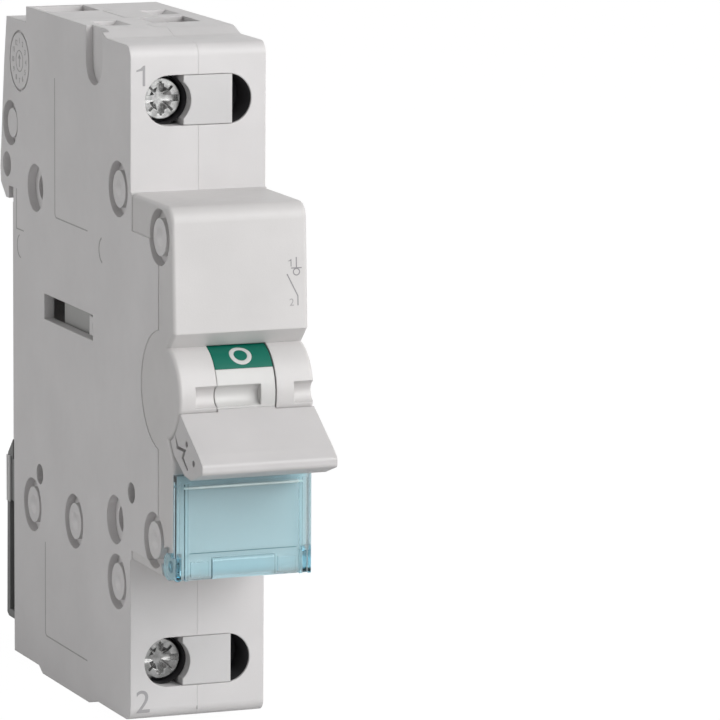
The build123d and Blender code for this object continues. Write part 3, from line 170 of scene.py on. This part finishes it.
def worked_metal(name, colour, rough, stretch, lines=1.0, dark=0.82, patch=420.0):
    """Metal with fine tool lines: stretch is the Mapping scale that lays them along an axis."""
    material, add = new_material(name)
    place = add("ShaderNodeTexCoord").outputs["Object"]
    mapped = add("ShaderNodeMapping", Vector=place, Scale=stretch)
    tool = add("ShaderNodeTexNoise", Vector=mapped.outputs["Vector"], Scale=1.0, Detail=4.0)
    stain = add("ShaderNodeTexNoise", Vector=place, Scale=patch, Detail=5.0)
    gloss = add("ShaderNodeMapRange", Value=stain.outputs["Fac"],
                To_Min=rough + METAL_GLOSS[0], To_Max=rough + METAL_GLOSS[1])
    tint = add("ShaderNodeMapRange", Value=stain.outputs["Fac"], **NOISE_RANGE,
               To_Min=dark, To_Max=1.08)
    shade = add("ShaderNodeHueSaturation", Value=tint.outputs["Result"], Color=(*colour, 1.0))
    bump = add("ShaderNodeBump", Height=tool.outputs["Fac"], Strength=0.35 * lines,
               Distance=GRAIN_HEIGHT, Normal=soft_edges(add, FINE_EDGE))
    shader = add("ShaderNodeBsdfPrincipled", Base_Color=shade.outputs["Color"],
                 Roughness=gloss.outputs["Result"], Normal=bump.outputs["Normal"], Metallic=1.0)
    add("ShaderNodeOutputMaterial", Surface=shader.outputs["BSDF"])
    return material


nickel = worked_metal("screw_nickel", (0.52, 0.52, 0.515), rough=0.20,
                      stretch=(1400.0, 700.0, 1400.0), lines=2.0, dark=0.55, patch=1500.0)
zinc = worked_metal("cage_zinc", (0.55, 0.55, 0.53), rough=0.34, stretch=(400.0, 6000.0, 400.0))
copper = worked_metal("strip_copper", (0.72, 0.36, 0.22), rough=0.30,
                      stretch=(6000.0, 300.0, 300.0))
silver = worked_metal("contact_silver", (0.80, 0.79, 0.76), rough=0.22,
                      stretch=(2000.0, 2000.0, 2000.0))
steel = worked_metal("spring_steel", (0.42, 0.42, 0.42), rough=0.32,
                     stretch=(1500.0, 1500.0, 1500.0))
print("metals:", nickel.name, zinc.name, copper.name, silver.name, steel.name)

# %% [markdown]
# ## Clear plastic
# The label cover is clear with an aqua tint. The tint belongs to the volume, not the surface: a
# thin pane takes away a little red, and the long way through an edge rib takes away most of it,
# which is why the ribs look bluer than the pane. A shadow ray is let through, so the face
# behind stays lit as it does behind real clear plastic.

# %% Clear cover
def clear_plastic(name, surface_colour, shade_colour, volume_colour, density):
    """Clear plastic tinted through its thickness that lets light reach what is behind it."""
    material, add = new_material(name)
    place = add("ShaderNodeTexCoord").outputs["Object"]
    slow = add("ShaderNodeTexNoise", Vector=place, Scale=240.0, Detail=3.0)
    gloss = add("ShaderNodeMapRange", Value=slow.outputs["Fac"], To_Min=0.02, To_Max=0.10)
    bump = add("ShaderNodeBump", Height=slow.outputs["Fac"], Strength=0.10, Distance=0.00003,
               Normal=soft_edges(add, FINE_EDGE))
    glass = add("ShaderNodeBsdfPrincipled", Roughness=gloss.outputs["Result"],
                Normal=bump.outputs["Normal"], Base_Color=(*surface_colour, 1.0),
                Transmission_Weight=1.0, IOR=1.49)
    through = add("ShaderNodeBsdfTransparent", Color=(*shade_colour, 1.0))
    ray = add("ShaderNodeLightPath")
    mix = add("ShaderNodeMixShader", ray.outputs["Is Shadow Ray"], glass.outputs["BSDF"],
              through.outputs["BSDF"])
    body = add("ShaderNodeVolumeAbsorption", Color=(*volume_colour, 1.0), Density=density)
    add("ShaderNodeOutputMaterial", Surface=mix.outputs["Shader"],
        Volume=body.outputs["Volume"])
    return material


aqua_clear = clear_plastic("aqua_clear", surface_colour=(0.90, 0.96, 0.97),
                           shade_colour=(0.92, 0.95, 0.95), volume_colour=(0.06, 0.76, 0.95),
                           density=205.0)
print("clear plastic:", aqua_clear.name)

# %% [markdown]
# ## Give every solid its finish
# A CAD solid keeps its shape. Only its material slot is filled.

# %% Assign finishes
finishes = {
    "housing_left": shell_grey, "housing_right": shell_grey, "front_fascia": fascia_grey,
    "toggle_handle": handle_grey, "indicator_rotor": rotor_white, "off_flag": flag_green,
    "on_flag": flag_red, "crank_pin": steel, "carriage": slide_grey, "bridge_contact": copper,
    "bridge_tips": silver, "contact_spring": steel, "upper_busbar": copper,
    "lower_busbar": copper, "fixed_tips": silver, "upper_terminal_screw": nickel,
    "lower_terminal_screw": nickel, "upper_clamp_cage": zinc, "lower_clamp_cage": zinc,
    "upper_terminal_insert": insert_grey, "lower_terminal_insert": insert_grey,
    "label_cover": aqua_clear, "rail_clip": clip_dark, "clip_spring": steel,
    "shell_stakes": shell_grey,
}
for name, node in nodes.items():
    node.data.materials.clear()
    node.data.materials.append(finishes[name])
print("finished solids:", len(finishes))

# %% [markdown]
# ## Printed and moulded marks
# The real device carries grey terminal numbers and a small switch symbol on its front, and fine
# moulded lines and a date dial on its left side; these are drawn dark grey, which is painted
# shade of their relief. Such marks are almost flat, so each is a plate two hundredths of a
# millimetre thick that lies on its face. Text is made a mesh first and then placed on the face
# by its matrix.
# From here on lengths on the device are in millimetres, unless a comment says metres.

# %% Marks on a face
FACE_GAP = 0.00001  # metres from the face to the middle of a mark
INK = 0.00002  # metres of thickness of a mark


def mark_plastic(name, colour, rough=0.5):
    """Plastic for marks, with edges too fine for the usual rounding."""
    return moulded_plastic(name, colour, rough=rough, grain=0.2, edge=0.00002)


def face_matrix(x, depth, height, lean=0.0):
    """Where a mark sits: X runs right, Y runs up the face and Z points out of the front."""
    turn = Matrix.Rotation(math.radians(90 - lean), 4, "X")
    return Matrix.Translation((x / MM, -depth / MM - FACE_GAP, height / MM)) @ turn


def side_matrix(x, depth, height):
    """A place on the left side: X runs to the front, Y runs up and Z points to the left."""
    turn = Matrix(((0, 0, -1), (-1, 0, 0), (0, 1, 0))).to_4x4()
    return Matrix.Translation((x / MM - FACE_GAP, -depth / MM, height / MM)) @ turn


def text_mesh(words, size):
    """A mesh of one short sign, about its own middle."""
    curve = bpy.data.curves.new("sign_" + words, "FONT")
    curve.body = words
    curve.size = size / MM
    curve.align_x = "CENTER"
    curve.align_y = "CENTER"
    curve.extrude = INK / 2
    curve.resolution_u = 6
    holder = bpy.data.objects.new("sign_" + words, curve)
    bpy.context.scene.collection.objects.link(holder)
    bpy.context.view_layer.update()
    mesh = bpy.data.meshes.new_from_object(holder)
    bpy.data.objects.remove(holder)
    return mesh


def mark_piece(name, mesh, ink, body):
    """Links a mark's mesh, paints it and lets it ride on a body."""
    mesh.name = name
    piece = bpy.data.objects.new(name, mesh)
    bpy.context.scene.collection.objects.link(piece)
    mesh.materials.clear()
    mesh.materials.append(ink)
    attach(piece, body)
    return piece


def printed_text(name, words, size, where, body):
    """A printed sign as a thin plate on a face."""
    mesh = text_mesh(words, size)
    mesh.transform(where)
    mark_piece(name, mesh, print_grey, body)


def stroke(shape, start, end, width):
    """Adds a straight line to a bmesh."""
    a, b = Vector((*start, 0)) / MM, Vector((*end, 0)) / MM
    along = (b - a).normalized()
    turn = Matrix.Rotation(math.atan2(along.y, along.x), 4, "Z")
    size = Matrix.Diagonal(((b - a).length, width / MM, INK, 1))
    bmesh.ops.create_cube(shape, size=1.0, matrix=Matrix.Translation((a + b) / 2) @ turn @ size)


def arc_line(shape, centre, radius, first, last, width, steps=24):
    """Adds a curved line to a bmesh: a small upright section spun between two angles."""
    middle = Vector((*centre, 0)) / MM
    begin = Matrix.Rotation(math.radians(first), 4, "Z")
    stand = Matrix.Rotation(math.radians(90), 4, "X")
    size = Matrix.Diagonal((width / MM, INK, 1, 1))
    out = Matrix.Translation((radius / MM, 0, 0))
    place = Matrix.Translation(middle) @ begin @ out @ stand @ size
    section = bmesh.ops.create_grid(shape, x_segments=1, y_segments=1, size=0.5, matrix=place)
    whole = abs(last - first) >= 360
    faces = list({face for vert in section["verts"] for face in vert.link_faces})
    edges = list({edge for face in faces for edge in face.edges})
    if whole:
        bmesh.ops.delete(shape, geom=faces, context="FACES_ONLY")
        faces = []
    bmesh.ops.spin(shape, geom=section["verts"] + edges + faces, cent=middle, axis=(0, 0, 1),
                   dvec=(0, 0, 0), angle=math.radians(last - first), steps=steps,
                   use_merge=whole, use_normal_flip=False, use_duplicate=False)
    bmesh.ops.recalc_face_normals(shape, faces=shape.faces[:])


def drawn_mark(name, shape, where, ink, body):
    """Turns a drawn bmesh into a piece with its place in its mesh."""
    mesh = bpy.data.meshes.new(name)
    shape.to_mesh(mesh)
    shape.free()
    mesh.transform(where)
    return mark_piece(name, mesh, ink, body)


def numeral_one(height):
    """A numeral 1 with a flag, because the built-in type draws only a plain bar."""
    shape = bmesh.new()
    half, stem = height / 2, 0.125 * height
    corners = ((stem, -half), (stem, half), (0.35 * stem, half), (-0.9 * stem, 0.72 * half),
               (-2.6 * stem, 0.56 * half), (-2.6 * stem, 0.40 * half), (0, 0.52 * half),
               (0, -half))
    outline = shape.faces.new([shape.verts.new((x / MM, y / MM, -INK / 2))
                               for x, y in corners])
    grown = bmesh.ops.extrude_face_region(shape, geom=[outline])
    raised = [v for v in grown["geom"] if isinstance(v, bmesh.types.BMVert)]
    bmesh.ops.translate(shape, verts=raised, vec=(0, 0, INK))
    bmesh.ops.recalc_face_normals(shape, faces=shape.faces[:])
    return shape


# %% Terminal numbers
SHOULDER_DEPTH = 44.8
print_grey = mark_plastic("print_grey", (0.37, 0.36, 0.37))
drawn_mark("mark_terminal_1", numeral_one(height=2.50),
           face_matrix(-7.17, SHOULDER_DEPTH, 37.06), print_grey, "housing")
printed_text("mark_terminal_2", "2", 4.05, face_matrix(-7.09, SHOULDER_DEPTH, -40.59),
             "housing")

# %% The switch symbol
NOSE_DEPTH, NOSE_FOOT = 59.85, 7.64  # where the nose window starts
NOSE_SLOPE = 3.0  # degrees
SYMBOL_LINE = 0.14
symbol_grey = mark_plastic("symbol_grey", (0.29, 0.28, 0.29))


def on_nose(x, height):
    """A place on the nose window, which leans back a little towards its top."""
    lean_back = (height - NOSE_FOOT) * math.tan(math.radians(NOSE_SLOPE))
    return face_matrix(x, NOSE_DEPTH - lean_back, height, NOSE_SLOPE)


symbol = bmesh.new()
stroke(symbol, (0, 3.05), (0, 1.7), SYMBOL_LINE)  # lead of the fixed contact
stroke(symbol, (-0.68, 1.74), (0.68, 1.74), SYMBOL_LINE)  # bar of a disconnector
arc_line(symbol, (0, 1.27), 0.40, 0, 360, SYMBOL_LINE)  # ring of a load switch
stroke(symbol, (-1.22, 1.05), (0.14, -1.65), SYMBOL_LINE)  # open blade
stroke(symbol, (0.14, -1.6), (0.14, -2.8), SYMBOL_LINE)  # lead of the blade
drawn_mark("mark_switch_symbol", symbol, on_nose(7.2, 13.22), symbol_grey, "housing")
drawn_mark("mark_contact_1", numeral_one(height=0.90), on_nose(6.46, 15.60), symbol_grey,
           "housing")
printed_text("mark_contact_2", "2", 1.25, on_nose(6.54, 10.79), "housing")

# %% Painted shade in the seam between the shells
SEAM_DEPTH = 44.77  # a little inside the groove
SEAM_RUNS = ((-22.7, -32.45, 0.10), (-38.95, -41.9, 0.07))  # top, foot and width of each line
# The dark lines are painted shade in the groove between the shells.
seam_shade_grey = mark_plastic("seam_shade_grey", (0.09, 0.09, 0.09), rough=0.7)
seam = bmesh.new()
for top, foot, width in SEAM_RUNS:
    stroke(seam, (0, top), (0, foot), width)
drawn_mark("seam_shade", seam, face_matrix(0, SEAM_DEPTH, 0), seam_shade_grey, "housing")

# %% Fine moulded lines on the left side, drawn dark as painted shade
SIDE = -8.75  # X of the left face
FINE_LINE = 0.16
BOLD_LINE = 0.24
CORNER = 0.6
# Painted shade: the dark grey stands for the shade in the relief of the moulded lines.
moulded_line_shade = mark_plastic("moulded_line_shade", (0.36, 0.35, 0.345))


def frame_corner(shape, top, corner, end):
    """Adds an upright line that turns round a corner and runs on to the front."""
    x, y = corner
    stroke(shape, top, (x, y + CORNER), FINE_LINE)
    arc_line(shape, (x + CORNER, y + CORNER), CORNER, 180, 270, FINE_LINE, 6)
    stroke(shape, (x + CORNER, y), end, FINE_LINE)


frame_lines = bmesh.new()
frame_corner(frame_lines, (16.6, 33.7), (16.6, 16.1), (29.0, 16.05))
frame_corner(frame_lines, (12.6, -26.2), (12.6, -38.35), (28.8, -38.4))
stroke(frame_lines, (1.45, 17.8), (1.45, 12.65), FINE_LINE)
stroke(frame_lines, (1.45, 12.68), (4.3, 12.68), FINE_LINE)
arc_line(frame_lines, (3.25, 10.6), 1.5, 115, 265, FINE_LINE, 12)
arc_line(frame_lines, (34.9, 14.4), 1.6, 115, 255, BOLD_LINE, 16)
drawn_mark("mark_side_lines", frame_lines, side_matrix(SIDE, 0, 0), moulded_line_shade, "housing")

# %% The date dial
DIAL = (2.8, 34.35)  # depth and height of its middle
ARROW_LINE = 0.15
RING_RADIUS, RING_LINE = 1.35, 0.12
MONTH_RADIUS, MONTH_SIZE = 2.55, 1.0
# The dial is drawn in the same painted shade as the moulded lines.
dial = bmesh.new()
stroke(dial, (0, -0.75), (0, 0.75), ARROW_LINE)
stroke(dial, (-0.42, 0.28), (0.02, 0.80), ARROW_LINE)
stroke(dial, (0.42, 0.28), (-0.02, 0.80), ARROW_LINE)
arc_line(dial, (0, 0), RING_RADIUS, 0, 360, RING_LINE)
for month in range(12):
    turn = math.radians(90 - 30 * month)
    sign = text_mesh(str(month + 1), MONTH_SIZE)
    sign.transform(Matrix.Translation((MONTH_RADIUS * math.cos(turn) / MM,
                                       MONTH_RADIUS * math.sin(turn) / MM, 0)))
    dial.from_mesh(sign)
    bpy.data.meshes.remove(sign)
drawn_mark("mark_date_dial", dial, side_matrix(SIDE, *DIAL), moulded_line_shade, "housing")

# %% [markdown]
# ## Painted shade in the terminal openings
# Beside each terminal insert a half-moon of the opening stays free for a test probe, and it
# lies in deep shade. So does the deep gap round each screw head. A thin black lining of painted
# shade covers the curved wall of both. It starts as one upright strip, which a spin carries
# along the curve, and then gets its thickness.

# %% A lining of painted shade on a curved wall
SHADE_LINING_WALL = 0.04
# Painted shade: black stands in for the deep shade inside the terminal openings.
painted_shade_black = moulded_plastic("painted_shade_black", (0.045, 0.044, 0.047), rough=0.7, grain=0.2,
                             shine=0.1)


def curved_shade_lining(name, middle, level, section, half_angle):
    """Lines a round wall with painted shade: section gives radius and depth of each corner."""
    lining = bmesh.new()
    start = math.radians(-half_angle)
    strip = [lining.verts.new((radius / MM * math.cos(start), -depth / MM,
                               radius / MM * math.sin(start))) for radius, depth in section]
    runs = [lining.edges.new(pair) for pair in zip(strip, strip[1:])]
    bmesh.ops.spin(lining, geom=strip + runs, cent=(0, 0, 0), axis=(0, -1, 0),
                   dvec=(0, 0, 0), angle=math.radians(2 * half_angle), steps=28,
                   use_merge=False, use_normal_flip=False, use_duplicate=False)
    bmesh.ops.translate(lining, verts=lining.verts[:], vec=(middle / MM, 0, level / MM))
    bmesh.ops.recalc_face_normals(lining, faces=lining.faces[:])
    bmesh.ops.solidify(lining, geom=lining.faces[:], thickness=SHADE_LINING_WALL / MM)
    drawn_mark(name, lining, Matrix.Identity(4), painted_shade_black, "housing")


# %% Line the probe holes and the screw wells with painted shade
TERMINAL_LEVELS = {"upper": 33.9, "lower": -35.7}  # heights of the openings' middles
PROBE_MIDDLE, PROBE_HALF_ANGLE = 3.8, 76
PROBE_SECTION = ((3.07, 44.55), (3.07, 40.03), (2.22, 40.03))
SCREW_MIDDLE, SCREW_HALF_ANGLE = -3.95, 112
SCREW_SECTION = ((2.98, 43.2), (2.98, 41.0))
for side, level in TERMINAL_LEVELS.items():
    curved_shade_lining(side + "_probe_shade_lining", PROBE_MIDDLE, level, PROBE_SECTION, PROBE_HALF_ANGLE)
    curved_shade_lining(side + "_screw_shade_lining", SCREW_MIDDLE, level, SCREW_SECTION, SCREW_HALF_ANGLE)

# %% [markdown]
# ## Edges that catch the light
# The band along the top of the clear cover ends in a rounded step, which shows as one pale line
# across the pane; that line is a pale opaque bar with a painted highlight. A fine dark line
# marks the label's edge near its foot. On each flank of the rail clip, two ribs stand beside
# its gripping lip, painted light as a highlight on their edges. Step and ribs are slim bars: a
# cube stretched by its matrix and softened with one bevel.

# %% Slim bars
BAR_SOFTNESS = 0.10


def slim_bar(shape, low, high):
    """Adds a bar between two corners, with softly rounded edges."""
    low, high = Vector(low) / MM, Vector(high) / MM
    place = Matrix.Translation((low + high) / 2) @ Matrix.Diagonal((*(high - low), 1))
    bar = bmesh.ops.create_cube(shape, size=1.0, matrix=place)
    edges = list({edge for vert in bar["verts"] for edge in vert.link_edges})
    bmesh.ops.bevel(shape, geom=edges, offset=BAR_SOFTNESS / MM, segments=2, profile=0.5,
                    affect="EDGES", material=-1)


# %% The cover's step and label edge
STEP_INSET = 1.0  # from the cover's ends
STEP_DEPTHS = (0.20, 0.50)  # behind the cover's front
STEP_HEIGHTS = (-11.05, -10.74)
PANE_INSET = 0.45  # from the cover's front to the pane's
LABEL_HALF, LABEL_LEVEL, LABEL_LINE = 6.9, -18.95, 0.10
# A pale opaque bar with a painted highlight stands in for the light caught by the cover's step.
painted_highlight_aqua = moulded_plastic("painted_highlight_aqua", (0.74, 0.86, 0.86), rough=0.25, grain=0.1)
aqua_line = moulded_plastic("aqua_line", (0.16, 0.27, 0.29), rough=0.4, grain=0.1)
cover_low, cover_high = (MM * Vector(corner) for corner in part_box("label_cover"))
step = bmesh.new()
slim_bar(step, (cover_low.x + STEP_INSET, cover_low.y + STEP_DEPTHS[0], STEP_HEIGHTS[0]),
         (cover_high.x - STEP_INSET, cover_low.y + STEP_DEPTHS[1], STEP_HEIGHTS[1]))
drawn_mark("cover_step_highlight", step, Matrix.Identity(4), painted_highlight_aqua, "cover")
label_edge = bmesh.new()
stroke(label_edge, (-LABEL_HALF, 0), (LABEL_HALF, 0), LABEL_LINE)
drawn_mark("cover_label_edge", label_edge,
           face_matrix(0, -cover_low.y - PANE_INSET, LABEL_LEVEL), aqua_line, "cover")
print("cover box in mm:", [round(v, 2) for v in (*cover_low, *cover_high)])

# %% The clip's ribs
RIB_SIDES = (8.30, 8.56)  # inner and outer face, from the middle
RIB_BACKS = (3.62, 2.86)  # behind the rail seat
RIB_DEPTH = 0.46
RIB_HEIGHTS = (-23.7, -17.6)
# The ribs are real; their light colour is a painted highlight on their edges against the dark
# clip.
clip_rib_highlight = moulded_plastic("clip_rib_highlight", (0.70, 0.695, 0.69), rough=0.5)
ribs = bmesh.new()
for back in RIB_BACKS:
    for side in (-1, 1):
        near, far = sorted(side * x for x in RIB_SIDES)
        slim_bar(ribs, (near, back - RIB_DEPTH, RIB_HEIGHTS[0]), (far, back, RIB_HEIGHTS[1]))
drawn_mark("clip_ribs", ribs, Matrix.Identity(4), clip_rib_highlight, "clip")
print("clip ribs:", 2 * len(RIB_BACKS))

# %% [markdown]
# ## The spring behind the clip
# When the clip is pulled down, its spring gets shorter, which a rigid solid can't show. A copy
# of the CAD coil, with its doubled points merged, stands for it with a mesh of its own, and the
# CAD coil is hidden.

# %% A copy of the spring
MERGE_DISTANCE = 0.000001  # metres
coil = bmesh.new()
coil.from_mesh(nodes["clip_spring"].data)
bmesh.ops.remove_doubles(coil, verts=coil.verts[:], dist=MERGE_DISTANCE)
coil_piece = drawn_mark("clip_coil", coil, Matrix.Identity(4), steel, "housing")
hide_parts("clip_spring")
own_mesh(coil_piece)

# %% [markdown]
# ## Floor, light and camera
# Product pictures of such parts stand on plain white. The floor is pale and keeps a faint
# shadow. The world is white where the camera, a mirror or clear plastic looks at it, and dimmer
# where it only lights the part. Large soft lamps light the front more than the left side.

# %% Floor
FLOOR_HALF = 3.0  # metres
FLOOR_GAP = 0.0001  # metres below the part, so that no faces meet
WHITE = (1.0, 1.0, 1.0, 1.0)
PAPER = (0.72, 0.72, 0.72, 1.0)
PAPER_GLOW = 1.05
GLOW_SHARE = 0.94  # of what the camera sees; the rest shows the shadow


def maths(add, operation, first, second):
    """The result of a Math node."""
    node = add("ShaderNodeMath", first, second)
    node.operation = operation
    return node.outputs["Value"]


floor_shape = bmesh.new()
bmesh.ops.create_grid(floor_shape, x_segments=1, y_segments=1, size=FLOOR_HALF)
floor_mesh = bpy.data.meshes.new("floor")
floor_shape.to_mesh(floor_mesh)
floor_shape.free()
floor = bpy.data.objects.new("floor", floor_mesh)
floor.location = (0, 0, cad_low.z - FLOOR_GAP)
bpy.context.scene.collection.objects.link(floor)
floor_look, floor_add = new_material("floor_white")
paper = floor_add("ShaderNodeBsdfDiffuse", Color=PAPER)
glow = floor_add("ShaderNodeEmission", Color=WHITE, Strength=PAPER_GLOW)
seen = floor_add("ShaderNodeLightPath")
part_seen = maths(floor_add, "MULTIPLY", seen.outputs["Is Camera Ray"], GLOW_SHARE)
floor_mix = floor_add("ShaderNodeMixShader", part_seen, paper.outputs["BSDF"],
                      glow.outputs["Emission"])
floor_add("ShaderNodeOutputMaterial", Surface=floor_mix.outputs["Shader"])
floor_mesh.materials.append(floor_look)
print("floor at mm:", round(MM * floor.location.z, 2))

# %% World
AMBIENT = 0.27  # strength of the world where it only lights the part
world = bpy.data.worlds.new("studio")
bpy.context.scene.world = world
world.use_nodes = True
world.node_tree.nodes.clear()
sky = node_adder(world.node_tree)
path = sky("ShaderNodeLightPath").outputs
camera_or_clear = maths(sky, "MAXIMUM", path["Is Camera Ray"], path["Is Transmission Ray"])
or_mirror = maths(sky, "MAXIMUM", camera_or_clear, path["Is Glossy Ray"])
before_bounce = maths(sky, "LESS_THAN", path["Diffuse Depth"], 0.5)
seen_white = maths(sky, "MULTIPLY", or_mirror, before_bounce)
strength = sky("ShaderNodeMapRange", Value=seen_white, To_Min=AMBIENT, To_Max=1.0)
backdrop = sky("ShaderNodeBackground", Color=WHITE, Strength=strength.outputs["Result"])
sky("ShaderNodeOutputWorld", Surface=backdrop.outputs["Background"])
print("world:", world.name)


# %% Lamps
def soft_lamp(name, place, size, power):
    """A large square lamp that looks at the object, in metres and watts."""
    lamp = bpy.data.lights.new(name, "AREA")
    lamp.shape = "SQUARE"
    lamp.size = size
    lamp.energy = power
    holder = bpy.data.objects.new(name, lamp)
    holder.location = place
    holder.rotation_euler = (-Vector(place)).to_track_quat("-Z", "Y").to_euler()
    bpy.context.scene.collection.objects.link(holder)


soft_lamp("key_lamp", (0.34, -0.50, 0.31), size=0.55, power=3.45)
soft_lamp("top_lamp", (0.05, 0.05, 0.80), size=0.50, power=0.15)
soft_lamp("front_fill", (0.05, -0.76, 0.15), size=0.45, power=0.82)
soft_lamp("left_fill", (-0.88, 0.26, 0.07), size=0.60, power=2.75)
print("lamps:", [lamp.name for lamp in bpy.data.lights])

# %% Camera
YAW, TILT, ROLL = math.radians(21.847), math.radians(9.405), math.radians(0.368)
CAMERA_PLACE = (-0.25360, -0.73071, 0.12304)  # metres
LENS, SENSOR = 302.71, 36.0
NEAREST, FARTHEST = 0.05, 20.0  # metres
ahead = Vector((math.sin(YAW) * math.cos(TILT), math.cos(YAW) * math.cos(TILT),
                -math.sin(TILT)))
right = Vector((math.cos(YAW), -math.sin(YAW), 0.0))
above = right.cross(ahead)
right_rolled = math.cos(ROLL) * right + math.sin(ROLL) * above
above_rolled = math.cos(ROLL) * above - math.sin(ROLL) * right
camera_data = bpy.data.cameras.new("photo_camera")
camera_data.lens = LENS
camera_data.sensor_width = SENSOR
camera_data.clip_start = NEAREST
camera_data.clip_end = FARTHEST
camera = bpy.data.objects.new("photo_camera", camera_data)
camera.matrix_world = Matrix.Translation(CAMERA_PLACE) @ Matrix(
    (right_rolled, above_rolled, -ahead)).transposed().to_4x4()
bpy.context.scene.collection.objects.link(camera)
bpy.context.scene.camera = camera
bpy.context.scene.view_settings.view_transform = "Standard"
print("camera lens:", camera_data.lens)
